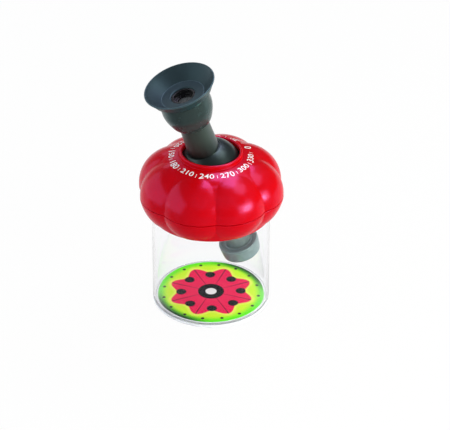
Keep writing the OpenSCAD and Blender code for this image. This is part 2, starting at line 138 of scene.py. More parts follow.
def flowing(points, steps=10):
    """A smooth line through the given (r, z) points: on each span a cubic that passes its two ends, at
    each with half the step between the points on either side of it."""
    p = np.array(points, float)
    padded = np.vstack([2 * p[0] - p[1], p, 2 * p[-1] - p[-2]])
    t = np.linspace(0, 1, steps, endpoint=False)[None, :, None]
    a, b, c, d = (padded[i:len(padded) - 3 + i][:, None] for i in range(4))
    curve = 0.5 * (2 * b + (c - a) * t + (2 * a - 5 * b + 4 * c - d) * t ** 2
                   + (3 * b - a - 3 * c + d) * t ** 3)
    return np.vstack([curve.reshape(-1, 2), p[-1:]])


def sewn(name, points, faces, near):
    """An object from points in millimetres: points nearer than near, in metres, are merged and the faces
    turned outwards."""
    mesh = bpy.data.meshes.new(name)
    mesh.from_pydata((points * MM).tolist(), [], faces)
    work = bmesh.new()
    work.from_mesh(mesh)
    bmesh.ops.remove_doubles(work, verts=work.verts, dist=near)
    bmesh.ops.recalc_face_normals(work, faces=work.faces)
    work.to_mesh(mesh)
    work.free()
    piece = bpy.data.objects.new(name, mesh)
    bpy.context.scene.collection.objects.link(piece)
    return piece


def skin(name, grid, loop, body, material, replaces=()):
    """A closed skin from a grid of points (rows, columns, 3) in millimetres. Columns run once round and
    join up, rows join up too where loop is true, and points that fall together are merged."""
    rows, columns = grid.shape[:2]
    index = np.arange(rows * columns).reshape(rows, columns)
    right = np.roll(index, -1, axis=1)
    if loop:
        up, up_right = np.roll(index, -1, axis=0), np.roll(right, -1, axis=0)
    else:
        index, right, up, up_right = index[:-1], right[:-1], index[1:], right[1:]
    faces = np.stack([index, right, up_right, up], axis=-1).reshape(-1, 4)
    piece = sewn(name, grid.reshape(-1, 3), faces.tolist(), 1e-7)
    piece.data.polygons.foreach_set("use_smooth", np.ones(len(piece.data.polygons), bool))
    return settle(piece, body, material, replaces)


def settle(piece, body, material, replaces=()):
    """Gives a piece its finish, its body and the model nodes that it stands for."""
    piece.data.materials.clear()
    piece.data.materials.append(material)
    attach(piece, body)
    if replaces:
        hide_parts(*replaces)
    return piece


def turned(outline, columns):
    """Carries an outline (r, z) once round the z axis: x = r cos a, y = r sin a."""
    angle = np.linspace(0, 2 * math.pi, columns, endpoint=False)[None, :]
    r, z = outline[:, :1], outline[:, 1:]
    return np.stack([r * np.cos(angle), r * np.sin(angle), z + 0 * angle], axis=-1)


def on_tube(grid):
    """Moves points from the viewing tube's own axis to the model: a turn by the lean about the y axis,
    and a rise to the ball's centre."""
    x, y, s = grid[..., 0], grid[..., 1], grid[..., 2]
    return np.stack([x * math.cos(LEAN) - s * math.sin(LEAN), y,
                     x * math.sin(LEAN) + s * math.cos(LEAN) + BALL_Z], axis=-1)


# Nodes

def nodes_of(material):
    """The emptied node tree of a material or world."""
    material.use_nodes = True
    tree = material.node_tree
    tree.nodes.clear()
    return tree


def add(tree, kind, **inputs):
    """Adds a node and sets or links its inputs, named as on the node with spaces as underscores."""
    node = tree.nodes.new(kind)
    for key, value in inputs.items():
        connect(tree, node, key.replace("_", " "), value)
    return node


def connect(tree, node, key, value):
    """Sets or links one input, by its name or as i and its number."""
    socket = node.inputs[int(key[1:])] if key[0] == "i" and key[1:].isdigit() else node.inputs[key]
    if isinstance(value, bpy.types.NodeSocket):
        tree.links.new(value, socket)
    else:
        socket.default_value = value


def maths(tree, operation, a, b=0.0, c=None):
    """A maths node's result."""
    node = tree.nodes.new("ShaderNodeMath")
    node.operation = operation
    connect(tree, node, "i0", a)
    connect(tree, node, "i1", b)
    if c is not None:
        connect(tree, node, "i2", c)
    return node.outputs[0]


def distance(tree, a, b):
    """Root of a squared plus b squared."""
    return maths(tree, "SQRT", maths(tree, "MULTIPLY_ADD", a, a, maths(tree, "MULTIPLY", b, b)))


def blend(tree, factor, low, high):
    """Colour blend from low to high."""
    node = tree.nodes.new("ShaderNodeMix")
    node.data_type = "RGBA"
    connect(tree, node, "i0", factor)
    connect(tree, node, "i6", low)
    connect(tree, node, "i7", high)
    return node.outputs[2]


def fade(tree, value, low, high, out_low=0.0, out_high=1.0):
    """Smooth step from one number to another, as a value goes from low to high."""
    node = tree.nodes.new("ShaderNodeMapRange")
    node.interpolation_type = "SMOOTHSTEP"
    for key, entry in (("Value", value), ("From Min", low), ("From Max", high),
                       ("To Min", out_low), ("To Max", out_high)):
        connect(tree, node, key, entry)
    return node.outputs[0]


def place(tree, tilted=False):
    """Object coordinates in metres, turned to the viewing tube's own axis where tilted."""
    source = tree.nodes.new("ShaderNodeTexCoord").outputs["Object"]
    if not tilted:
        return source
    turn = tree.nodes.new("ShaderNodeMapping")
    turn.vector_type = "TEXTURE"
    connect(tree, turn, "Vector", source)
    turn.inputs["Location"].default_value = (0, 0, BALL_Z * MM)
    turn.inputs["Rotation"].default_value = (0, -LEAN, 0)
    return turn.outputs[0]


def bumped(tree, shader, height, strength, reach):
    """Gives a shader a bump of the given strength, with its reach in metres."""
    bump = add(tree, "ShaderNodeBump", Height=height, Strength=strength, Distance=reach)
    connect(tree, shader, "Normal", bump.outputs[0])


def finish_with(tree, shader, kind="ShaderNodeOutputMaterial"):
    """Links a shader to the output."""
    tree.links.new(shader.outputs[0], tree.nodes.new(kind).inputs[0])


def effect(name, inputs, outputs):
    """An empty node group with the given float or vector inputs and float outputs."""
    group = bpy.data.node_groups.new(name, "ShaderNodeTree")
    for key, kind, value in inputs:
        socket = group.interface.new_socket(key, in_out="INPUT", socket_type=kind)
        if value is not None:
            socket.default_value = value
    for key in outputs:
        group.interface.new_socket(key, in_out="OUTPUT", socket_type="NodeSocketFloat")
    return group, group.nodes.new("NodeGroupInput"), group.nodes.new("NodeGroupOutput")


def use(tree, group, **inputs):
    """Places an effect in a material and gives its outputs."""
    node = tree.nodes.new("ShaderNodeGroup")
    node.node_tree = group
    for key, value in inputs.items():
        connect(tree, node, key, value)
    return node.outputs


# Effects that several finishes share

def moulded_grain():
    """Moulded plastic: slow cloudy shade, fine pitted grain and worn, slightly duller patches."""
    group, source, sink = effect("moulded_grain", [
        ("Place", "NodeSocketVector", None), ("Fineness", "NodeSocketFloat", 900.0)],
        ["Shade", "Wear", "Grain"])
    cloud = add(group, "ShaderNodeTexNoise", Vector=source.outputs["Place"], Scale=60.0, Detail=3.0)
    wear = add(group, "ShaderNodeTexNoise", Vector=source.outputs["Place"], Scale=170.0, Detail=6.0,
               Roughness=0.65)
    grain = add(group, "ShaderNodeTexNoise", Vector=source.outputs["Place"],
                Scale=source.outputs["Fineness"], Detail=2.0)
    connect(group, sink, "Shade", cloud.outputs[0])
    connect(group, sink, "Wear", fade(group, wear.outputs[0], 0.42, 0.72))
    connect(group, sink, "Grain", grain.outputs[0])
    return group


def turned_lines():
    """Faint rings left by turning: a sine of the height along the axis, uneven in depth."""
    group, source, sink = effect("turned_lines", [
        ("Place", "NodeSocketVector", None), ("Pitch", "NodeSocketFloat", 0.0008)], ["Ridge"])
    split = add(group, "ShaderNodeSeparateXYZ", i0=source.outputs["Place"])
    turns = maths(group, "DIVIDE", split.outputs[2], source.outputs["Pitch"])
    wave = maths(group, "SINE", maths(group, "MULTIPLY", turns, 2 * math.pi))
    bands = add(group, "ShaderNodeTexNoise", Scale=1.0, Detail=2.0)
    connect(group, bands, "Vector", add(group, "ShaderNodeCombineXYZ", Z=maths(
        group, "MULTIPLY", split.outputs[2], 420.0)).outputs[0])
    connect(group, sink, "Ridge", maths(group, "MULTIPLY", wave, bands.outputs[0]))
    return group


GRAIN = moulded_grain()
LINES = turned_lines()


# Finishes, with their lengths in millimetres

CLOUD_LIFT = 0.01
OUTSIDE_FADE = 0.3
# Painted highlight along the rings: the heights from which it shows, and how much paler it is
SHEEN_ABOVE_S, SHEEN_PALER = (63.0, 63.6), 2.6
GRAIN_STRENGTH = 0.5
CLEAR_SHEEN, CLEAR_SMEAR = 0.3, 0.03
RIPPLE_STRENGTH, RIPPLE = 0.15, 0.4
FROST_FADE, MILK = 1.6, (0.92, 0.95, 1.0, 1)


def plastic(name, colour, shade=0.06, rough=(0.3, 0.4), grain=0.02, fineness=900.0, tilted=False,
            lines=0.0, above=None, rings=(), outside=None, **fixed):
    """A moulded plastic or rubber: colour with slow shade, roughness with wear, a fine grain bump and
    turned rings where lines is above zero. Above is two heights and the colour that comes in between them;
    below them the colour stays darker, as painted shade at a part's foot. Rings are painted highlights,
    paler edges, each a radius and a half width. Outside is a slope, a level and the colour, painted shade,
    where the height less slope times radius falls below the level. Fixed sets sockets of the shader."""
    material = bpy.data.materials.new(name)
    tree = nodes_of(material)
    here = place(tree, tilted)
    marks = use(tree, GRAIN, Place=here, Fineness=fineness)

    def cloudy(plain):
        dark = [c * (1 - shade) for c in plain] + [1]
        light = [min(1, c * (1 + shade) + shade * CLOUD_LIFT) for c in plain] + [1]
        return blend(tree, marks["Shade"], dark, light)

    base = cloudy(colour)
    if above or outside or rings:
        x, y, z = add(tree, "ShaderNodeSeparateXYZ", i0=here).outputs
    # Above: below the two heights the base colour stays, as painted shade at a part's foot
    if above:
        low, high, upper = above
        base = blend(tree, fade(tree, z, low * MM, high * MM), base, cloudy(upper))
    if outside or rings:
        radius = distance(tree, x, y)
    # Outside: painted shade, a darker colour on the surface that lies below the sloped level
    if outside:
        slope, level, outer = outside
        over = maths(tree, "MULTIPLY_ADD", radius, -slope, z)
        base = blend(tree, fade(tree, over, (level - OUTSIDE_FADE) * MM, (level + OUTSIDE_FADE) * MM),
                     cloudy(outer), base)
    # Rings: painted highlights, paler lines along edges, from a height upwards
    for ring, half in rings:
        off = maths(tree, "ABSOLUTE", maths(tree, "SUBTRACT", radius, ring * MM))
        low, high = SHEEN_ABOVE_S
        edge_sheen = maths(tree, "MULTIPLY", fade(tree, off, 0.0, half * MM, 1.0, 0.0),
                     fade(tree, z, low * MM, high * MM))
        base = blend(tree, edge_sheen, base, [min(1, SHEEN_PALER * c) for c in colour] + [1])
    shader = add(tree, "ShaderNodeBsdfPrincipled", Base_Color=base,
                 Roughness=fade(tree, marks["Wear"], 0.0, 1.0, *rough))
    height = marks["Grain"]
    if lines:
        ridge = use(tree, LINES, Place=here)["Ridge"]
        height = maths(tree, "MULTIPLY_ADD", ridge, lines, height)
    bumped(tree, shader, height, GRAIN_STRENGTH, grain * MM)
    for key, value in fixed.items():
        shader.inputs[key.replace("_", " ")].default_value = value
    finish_with(tree, shader)
    return material


def clear(name, tint, rough, index, frost, frost_top=1000.0):
    """Clear plastic or glass. Lamps shine through it, so what it covers stays lit. Frost is how milky it
    is, fading out below the height frost_top."""
    material = bpy.data.materials.new(name)
    tree = nodes_of(material)
    here = place(tree)
    smear = add(tree, "ShaderNodeTexNoise", Vector=here, Scale=45.0, Detail=4.0)
    shader = add(tree, "ShaderNodeBsdfPrincipled", Base_Color=(*tint, 1), Transmission_Weight=1.0,
                 IOR=index, Roughness=fade(tree, smear.outputs[0], 0.35, 0.75, rough, rough + CLEAR_SMEAR))
    shader.inputs["Specular Tint"].default_value = (CLEAR_SHEEN, CLEAR_SHEEN, CLEAR_SHEEN, 1)
    ripple = add(tree, "ShaderNodeTexNoise", Vector=here, Scale=28.0, Detail=1.0)
    bumped(tree, shader, ripple.outputs[0], RIPPLE_STRENGTH, RIPPLE * MM)
    height = add(tree, "ShaderNodeSeparateXYZ", i0=here).outputs[2]
    milky = fade(tree, height, (frost_top - FROST_FADE) * MM, frost_top * MM, frost, 0.0)
    milk = add(tree, "ShaderNodeBsdfDiffuse", Color=MILK)
    body = add(tree, "ShaderNodeMixShader", i0=milky, i1=shader.outputs[0], i2=milk.outputs[0])
    through = add(tree, "ShaderNodeBsdfTransparent", Color=(*[0.5 + 0.5 * c for c in tint], 1))
    path = tree.nodes.new("ShaderNodeLightPath")
    lamp = maths(tree, "MAXIMUM", path.outputs["Is Shadow Ray"], path.outputs["Is Diffuse Ray"])
    finish_with(tree, add(tree, "ShaderNodeMixShader", i0=lamp, i1=body.outputs[0], i2=through.outputs[0]))
    return material


# The print on the disc: its colours, then its places, where a share is one of the disc's radius

LIME, RIM_GREEN, RIM_SHADE = (0.66, 1.0, 0.03, 1), (0.14, 0.95, 0.01, 1), (0.006, 0.05, 0.010, 1)
HALO, PETAL_HEART, PETAL_TIP = (0.92, 0.98, 0.16, 1), (0.95, 0.03, 0.12, 1), (0.90, 0.015, 0.10, 1)
VEIN, INK, HUB_WHITE, BACK_WHITE = (
    (0.02, 0.01, 0.012, 1), (0.012, 0.012, 0.014, 1), (0.95, 0.95, 0.95, 1), (0.9, 0.9, 0.9, 1))
PETALS = 8
PETAL_MEAN_SHARE, PETAL_SWING_SHARE, PETAL_FADE_SHARES = 0.72, 0.08, (0.1, 0.7)
VEIN_EDGE = (0.02, 0.07)
RIM_SHARES, RIM_SHADE_SHARES = (0.80, 0.97), (0.84, 0.99)
RIM_SHADE_PHASE, RIM_SHADE_EDGE = 0.9, (-0.2, 0.9)
HALO_SHARES, HALO_STRENGTH = (-0.10, -0.02), 0.7
HUB_SHARE, EYE_SHARE, HUB_EDGE_SHARE = 0.24, 0.10, 0.01
INK_EDGE_SHARE = 0.006
DOT_RING_SHARES = ((0.56, 8, 0.095), (0.90, 16, 0.030))
PAPER_STRENGTH, PAPER_GRAIN = 0.3, 0.02


def dots(tree, radius, angle, ring, count, size):
    """1 inside each dot of a ring, 0 outside. The distance from the middle of the nearest dot is the root
    of (angle from it x ring radius)^2 + (radius - ring radius)^2."""
    turn = maths(tree, "MULTIPLY", angle, count / (2 * math.pi))
    off = maths(tree, "SUBTRACT", maths(tree, "SUBTRACT", turn, maths(tree, "FLOOR", turn)), 0.5)
    across = maths(tree, "MULTIPLY", off, 2 * math.pi * ring / count)
    far = distance(tree, across, maths(tree, "SUBTRACT", radius, ring))
    return fade(tree, far, size - INK_EDGE_SHARE, size + INK_EDGE_SHARE, 1.0, 0.0)


def rosette(tree, x, y):
    """A generic rosette of pinkish petals with dark dots, on a lime ground that darkens to the rim on two
    sides. Petal edge: radius = mean + swing x cosine of (petals x angle)."""
    radius = maths(tree, "MULTIPLY", distance(tree, x, y), 1 / (DISC_R * MM))
    angle = maths(tree, "ARCTAN2", y, x)
    petals = maths(tree, "COSINE", maths(tree, "MULTIPLY", angle, PETALS))
    edge = maths(tree, "MULTIPLY_ADD", petals, PETAL_SWING_SHARE, PETAL_MEAN_SHARE)
    inside = maths(tree, "SUBTRACT", edge, radius)
    ground = blend(tree, fade(tree, radius, *RIM_SHARES), LIME, RIM_GREEN)
    side = maths(tree, "SINE", maths(tree, "MULTIPLY_ADD", angle, 2.0, RIM_SHADE_PHASE))
    shadow = maths(tree, "MULTIPLY", fade(tree, radius, *RIM_SHADE_SHARES),
                   fade(tree, side, *RIM_SHADE_EDGE))
    ground = blend(tree, shadow, ground, RIM_SHADE)
    glow = maths(tree, "MULTIPLY", fade(tree, inside, *HALO_SHARES), HALO_STRENGTH)
    ground = blend(tree, glow, ground, HALO)
    petal = blend(tree, fade(tree, radius, *PETAL_FADE_SHARES), PETAL_HEART, PETAL_TIP)
    from_vein = maths(tree, "ABSOLUTE", maths(tree, "SINE", maths(tree, "MULTIPLY", angle, PETALS / 2)))
    petal = blend(tree, fade(tree, from_vein, *VEIN_EDGE, 1.0, 0.0), petal, VEIN)
    colour = blend(tree, fade(tree, inside, -INK_EDGE_SHARE, INK_EDGE_SHARE), ground, petal)
    for ring, count, size in DOT_RING_SHARES:
        colour = blend(tree, dots(tree, radius, angle, ring, count, size), colour, INK)
    for share, fill in ((HUB_SHARE, INK), (EYE_SHARE, HUB_WHITE)):
        colour = blend(tree, fade(tree, radius, share, share + HUB_EDGE_SHARE, 1.0, 0.0), colour, fill)
    return colour


def floor_disc_print():
    """Printed paper: the rosette on top, plain white on the back, with a fine paper grain."""
    material = bpy.data.materials.new("floor_disc_print")
    tree = nodes_of(material)
    here = place(tree)
    x, y, z = add(tree, "ShaderNodeSeparateXYZ", i0=here).outputs
    low, high = DISC_BACK_Z
    colour = blend(tree, fade(tree, z, low * MM, high * MM), BACK_WHITE, rosette(tree, x, y))
    paper = add(tree, "ShaderNodeTexNoise", Vector=here, Scale=2600.0, Detail=2.0)
    shader = add(tree, "ShaderNodeBsdfPrincipled", Base_Color=colour,
                 Roughness=fade(tree, paper.outputs[0], 0.3, 0.7, 0.32, 0.44), Specular_IOR_Level=0.03)
    bumped(tree, shader, paper.outputs[0], PAPER_STRENGTH, PAPER_GRAIN * MM)
    finish_with(tree, shader)
    return material


lid_red = plastic("lid_red_gloss", (0.565, 0.0003, 0.0012), shade=0.03, rough=(0.21, 0.27), grain=0.004,
                  fineness=500.0, Specular_IOR_Level=0.08, Specular_Tint=(7.0, 2.2, 6.2, 1))
dial_white = plastic("dial_white_ink", (0.95, 0.95, 0.96), shade=0.02, rough=(0.35, 0.5), grain=0.01)
jar_clear = clear("jar_clear_plastic", (0.99, 0.99, 1.0), 0.0, 1.42, 0.8, 2.8)
lens_clear = clear("lens_coated_glass", (0.60, 0.66, 0.66), 0.0, 1.52, 0.1)
disc_print = floor_disc_print()
# The ball's own dark colour runs up the neck's foot and fades out by 33 mm there, as painted shade
ball_grey = plastic("ball_satin_grey", (0.006, 0.008, 0.008), shade=0.1, rough=(0.33, 0.41), grain=0.005,
                    tilted=True, lines=0.1, above=(17.5, 33.0, (0.031, 0.040, 0.035)),
                    Specular_IOR_Level=0.8, Specular_Tint=(0.7, 1.0, 0.98, 1))
barrel_grey = plastic("barrel_satin_grey", (0.15, 0.20, 0.20), shade=0.08, rough=(0.3, 0.4), grain=0.006,
                      tilted=True, lines=0.25)
bulb_grey = plastic("eyepiece_satin_grey", (0.029, 0.040, 0.040), shade=0.12, rough=(0.22, 0.30),
                    grain=0.012, tilted=True, lines=0.6, Specular_IOR_Level=0.25,
                    Specular_Tint=(0.8, 1.95, 2.0, 1))
# The rings are painted highlights on the rim's crest and on the floor's ridge
cup_rubber = plastic("eyecup_soft_rubber", (0.027, 0.044, 0.053), shade=0.1, rough=(0.38, 0.48), grain=0.015,
                     fineness=1400.0, tilted=True, rings=((23.55, 0.45), (14.4, 0.35)),
                     # painted shade: the cup's outside, which faces down to the lid, darker and less red
                     outside=(0.93, 49.3, (0.010, 0.040, 0.044)),
                     Specular_IOR_Level=0.16, Specular_Tint=(1.1, 2.0, 2.2, 1))
cell_black = plastic("lens_cell_black", (0.006, 0.006, 0.007), shade=0.1, rough=(0.25, 0.4), grain=0.01,
                     tilted=True, lines=0.6)
objective_grey = plastic("objective_moulded_grey", (0.17, 0.25, 0.26), shade=0.06, rough=(0.3, 0.4),
                         grain=0.01, tilted=True, lines=0.2)
socket_dark = plastic("socket_dark_plastic", (0.012, 0.013, 0.014), rough=(0.35, 0.5), grain=0.015)
slip_black = plastic("slip_ring_black", (0.01, 0.01, 0.01), rough=(0.3, 0.4), grain=0.01)
seal_rubber = plastic("seal_ring_rubber", (0.03, 0.03, 0.032), rough=(0.5, 0.6), grain=0.03)
screw_steel = plastic("screw_zinc_steel", (0.55, 0.55, 0.53), rough=(0.25, 0.4), grain=0.01, Metallic=1.0)

for node, finish in {
        "floor_print": disc_print, "seal_ring": seal_rubber, "lid_screws": screw_steel,
        "socket_seat": socket_dark, "socket_cap": socket_dark, "slip_ring": slip_black,
        "ball_base": ball_grey, "focus_ring": slip_black, "eye_lens": lens_clear,
        "lens_spacer": cell_black, "field_lens": lens_clear, "field_stop": cell_black,
        "objective_lens": lens_clear, "objective_ring": socket_dark}.items():
    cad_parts[node].data.materials.clear()
    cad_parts[node].data.materials.append(finish)


# The jar

def jar_tumbler():
    """The tumbler with its floor and foot ring, turned round the z axis."""
    outline = soft_outline([
        (0, JAR_UNDER_Z), (JAR_FOOT_R, JAR_UNDER_Z, 0.3), (JAR_FOOT_R, 0, 0.5), (JAR_R, 0, 0.9),
        (JAR_R, JAR_H, 0.75), (JAR_INNER_R, JAR_H, 0.75), (JAR_INNER_R, JAR_FLOOR_Z, 0.9),
        (0, JAR_FLOOR_Z)], 8)
    return skin("jar_tumbler", turned(outline, JAR_COLUMNS), False, "jar_body", jar_clear,
                ["jar"])


jar_tumbler()


# The lid

def dome_radius(z):
    """Outline of the dome over its scallops, a flattened oval: ((r - core) / reach)^power +
    ((z - parting line) / rise)^power = 1."""
    share = np.clip((z - PART_Z) / DOME_RISE, 0, 1)
    return DOME_CORE_R + DOME_REACH * (1 - share ** DOME_POWER) ** (1 / DOME_POWER)


def dome_rise(r):
    """Height of the dome's outline over the parting line at a radius: the same oval, solved for z."""
    share = (r - DOME_CORE_R) / DOME_REACH
    return DOME_RISE * (1 - share ** DOME_POWER) ** (1 / DOME_POWER)


def skirt_radius(z):
    """Outline of the lower shell over its scallops, an oval too: ((r - core) / reach)^power +
    ((parting line - z) / drop)^power = 1."""
    share = np.clip((PART_Z - z) / SKIRT_DROP, 0, 1)
    return SKIRT_CORE_R + SKIRT_REACH * (1 - share ** SKIRT_POWER) ** (1 / SKIRT_POWER)


def scalloped(r, groove, angle):
    """Radius of a scalloped ring at an angle. Each scallop is a round of radius r - c about a point at c
    from the axis, the groove between two has a small round at its bottom, and the ring never falls
    below the groove radius: radius = c cos a + root((r - c)^2 - (c sin a)^2)."""
    c = LOBE_CENTRE_R
    from_lobe = np.abs((angle - LOBE_TURN + HALF_LOBE) % (2 * HALF_LOBE) - HALF_LOBE)
    from_groove = np.hypot(HALF_LOBE - from_lobe, GROOVE_ROUND)
    a = np.maximum(HALF_LOBE - from_groove, 0)
    lobe = c * np.cos(a) + np.sqrt(np.maximum((r - c) ** 2 - (c * np.sin(a)) ** 2, 0))
    over = lobe - groove
    return np.minimum(groove + 0.5 * (over + np.hypot(over, GROOVE_MEETING)), r)


def dome_groove(r):
    """Groove radius of the dome: the groove's depth inside the outline, fading out towards the axis."""
    inner, outer = DOME_GROOVE_FADE
    return r - DOME_GROOVE * np.clip((r - inner) / (outer - inner), 0, 1)


def skirt_groove(z):
    """Groove radius of the lower shell, which widens from its lower edge to the parting line: low +
    (high - low) x (1 - (1 - share of the height)^power)."""
    low, high = SKIRT_GROOVE_R
    share = np.clip((z - SKIRT_LOW_Z) / SKIRT_DROP, 0, 1)
    return low + (high - low) * (1 - (1 - share) ** SKIRT_GROOVE_POWER)


def lid_angles():
    """Angles of the lid's columns. In each scallop they crowd towards its two grooves: 1.4 s - 0.4 s^3
    of half a scallop, for s from -1 to 1."""
    s = np.linspace(-1, 1, LOBE_COLUMNS, endpoint=False)
    return (LOBE_TURN + HALF_LOBE * (1.4 * s - 0.4 * s ** 3)[None, :]
            + 2 * HALF_LOBE * np.arange(LOBES)[:, None]).reshape(1, -1)


def lid_skin(name, outer, outer_z, plain, node):
    """A lid shell from the radii of its scalloped outside, a row for each height, and the plain outline
    (r, z) of the rest."""
    angle = lid_angles()
    radius = np.vstack([outer, np.repeat(plain[:, :1], LID_COLUMNS, axis=1)])
    z = np.r_[outer_z, plain[:, 1]][:, None]
    grid = np.stack([radius * np.cos(angle), radius * np.sin(angle), z + 0 * radius], axis=-1)
    return skin(name, grid, True, "lid", lid_red, [node])


def dome_shell():
    """The dome from its lower edge over the outline and the raised lip, and back down its inside. Its
    lower edge is a quarter round, and its oval is walked as z = rise x sine^(2 / power)."""
    lip_r, opening_r, lip_z, lip_top_z = 21.0, 19.1, 112.6, 115.8
    edge_points, arc_points, inner_points = 5, 80, 24
    low = PART_Z + PART_HALF_GAP
    a = np.linspace(math.pi / 2, 0, edge_points)
    t = np.linspace(0, math.pi / 2, arc_points)
    arc = PART_Z + DOME_RISE * np.sin(t) ** (2 / DOME_POWER)
    arc = arc[(arc > low + PART_EDGE + 0.05) & (arc < lip_z - 0.3)]
    z = np.r_[low + PART_EDGE * (1 - np.sin(a)), arc]
    step_in = np.r_[PART_EDGE * (1 - np.cos(a)), 0 * arc]
    outline = dome_radius(z)
    outer = scalloped(outline[:, None], dome_groove(outline)[:, None], lid_angles()) - step_in[:, None]
    lip = soft_outline([
        (float(outline[-1]), float(z[-1])), (lip_r + 0.95, lip_z, 0.25), (lip_r, lip_z, 0.45),
        (lip_r, lip_top_z, 0.95), (opening_r, lip_top_z, 0.95), (opening_r, lip_z + 0.2, 0.2),
        (opening_r + 1.4, lip_z - DOME_WALL, 0.2)], 8)[1:]
    inner_z = np.linspace(lip_z - DOME_WALL - 0.2, low, inner_points)
    inner = np.column_stack([dome_groove(dome_radius(inner_z + DOME_WALL)) - DOME_WALL, inner_z])
    return lid_skin("lid_dome_shell", outer, z, np.vstack([lip, inner]), "lid_dome")


def skirt_shell():
    """The lower shell from its upper edge down the outline, up the sleeve round the jar mouth, round the
    plug ring and its seal groove, across the deck, and back up to the tongue inside the parting line."""
    foot_edge, edge_points, arc_points = 0.4, 5, 44
    sleeve_r, sleeve_outer_r, hollow_low_z = JAR_R + SLEEVE_CLEAR, 41.5, 75.4
    plug_r, plug_inner_r, plug_low_z = JAR_INNER_R - PLUG_CLEAR, 35.3, 75.0
    seal_r, seal_low_z, seal_high_z = 36.34, 77.45, 79.55
    deck_r, deck_top_z = 17.6, 84.0
    tongue_r, tongue_inner_r, tongue_foot_z, tongue_top_z = 44.2, 43.1, 82.5, 88.9
    high = PART_Z - PART_HALF_GAP
    t = np.linspace(0, math.pi / 2, arc_points)
    arc = PART_Z - SKIRT_DROP * np.sin(t) ** (2 / SKIRT_POWER)
    arc = arc[(arc < high - PART_EDGE - 0.05) & (arc > SKIRT_LOW_Z + foot_edge + 0.1)]
    a = np.linspace(0, math.pi / 2, edge_points)
    z = np.r_[high - PART_EDGE * (1 - np.cos(a)), arc, SKIRT_LOW_Z + foot_edge * (1 - np.sin(a))]
    step_in = np.r_[PART_EDGE * (1 - np.sin(a)), 0 * arc, foot_edge * (1 - np.cos(a))]
    outline = np.maximum(skirt_radius(z), SKIRT_CORE_R + 0.2)
    groove = np.minimum(skirt_groove(z), outline)
    outer = scalloped(outline[:, None], groove[:, None], lid_angles()) - step_in[:, None]
    plain = soft_outline([
        (sleeve_r + 0.6, SKIRT_LOW_Z), (sleeve_r, SKIRT_LOW_Z, 0.15), (sleeve_r, JAR_H, 0.2),
        (plug_r, JAR_H, 0.2), (plug_r, seal_high_z, 0.1), (seal_r, seal_high_z, 0.1),
        (seal_r, seal_low_z, 0.1), (plug_r, seal_low_z, 0.1), (plug_r, plug_low_z, 0.5),
        (plug_inner_r, plug_low_z, 0.5), (plug_inner_r, JAR_H, 0.4), (deck_r, JAR_H, 0.3),
        (deck_r, deck_top_z, 0.3), (sleeve_outer_r, deck_top_z, 0.3), (sleeve_outer_r, hollow_low_z, 0.2),
        (tongue_inner_r - 0.2, 79, 0.4), (tongue_inner_r, tongue_foot_z, 0.2),
        (tongue_inner_r, tongue_top_z, 0.2), (tongue_r, tongue_top_z, 0.2), (tongue_r, high)], 4)
    return lid_skin("lid_skirt_shell", outer, z, plain, "lid_skirt")


def flat_mark(words, size):
    """A flat mark, cut into small triangles: its points (u, v) and its faces."""
    text = bpy.data.curves.new("mark", "FONT")
    text.body = words
    text.size = size
    text.offset = MARK_SWELL
    text.align_x = "CENTER"
    text.align_y = "CENTER"
    text.resolution_u = 6
    holder = bpy.data.objects.new("mark", text)
    bpy.context.scene.collection.objects.link(holder)
    bpy.context.view_layer.update()
    mesh = bpy.data.meshes.new_from_object(holder.evaluated_get(bpy.context.evaluated_depsgraph_get()))
    work = bmesh.new()
    work.from_mesh(mesh)
    for _ in range(MARK_CUTS):
        bmesh.ops.triangulate(work, faces=work.faces)
        long = [edge for edge in work.edges if edge.calc_length() > MARK_SIDE]
        bmesh.ops.subdivide_edges(work, edges=long, cuts=1)
    work.to_mesh(mesh)
    work.free()
    places = np.empty(3 * len(mesh.vertices), np.float32)
    mesh.vertices.foreach_get("co", places)
    faces = [list(face.vertices) for face in mesh.polygons]
    bpy.data.objects.remove(holder)
    bpy.data.curves.remove(text)
    bpy.data.meshes.remove(mesh)
    return places.reshape(-1, 3)[:, :2].astype(float), faces


def dial_numbers():
    """White numbers and strokes round the opening. A flat mark's point (u, v) goes to the angle
    centre + u / bend radius and the outline radius mark radius - v, and lies just above the dome there."""
    flat, faces, start = [], [], 0
    for i in range(MARKS):
        degrees = 360 * i // MARKS
        points, triangles = flat_mark("|", STROKE_SIZE) if i % 2 else flat_mark(str(degrees), NUMBER_SIZE)
        u, v = points.T
        flat.append(np.column_stack([math.radians(degrees) + u / MARK_BEND_R, MARK_R - v]))
        faces += [[start + k for k in triangle] for triangle in triangles]
        start += len(points)
    angle, outline = np.vstack(flat).T
    rise = dome_rise(outline)
    slope = np.arctan2(DOME_RISE * (outline - DOME_CORE_R), DOME_REACH * np.maximum(rise, 1))
    radius = scalloped(outline, dome_groove(outline), angle) + MARK_LIFT * np.sin(slope)
    points = np.column_stack([radius * np.cos(angle), radius * np.sin(angle),
                              PART_Z + rise + MARK_LIFT * np.cos(slope)])
    return settle(sewn("dial_numbers", points, faces, 1e-8), "lid", dial_white)


dome_shell()
skirt_shell()
dial_numbers()


# The viewing tube

def tube_skin(name, outline, body, material, node):
    """A skin from an outline (radius, distance along the tube) turned round the tube's own axis."""
    return skin(name, on_tube(turned(outline, TUBE_COLUMNS)), True, body, material, [node])


def ball_arc(radius, low, high, count):
    """Points of a ball's outline, an arc of the given radius, between two distances along the tube."""
    s = radius * np.sin(np.linspace(math.asin(low / radius), math.asin(high / radius), count))
    return np.column_stack([np.sqrt(radius ** 2 - s ** 2), s])


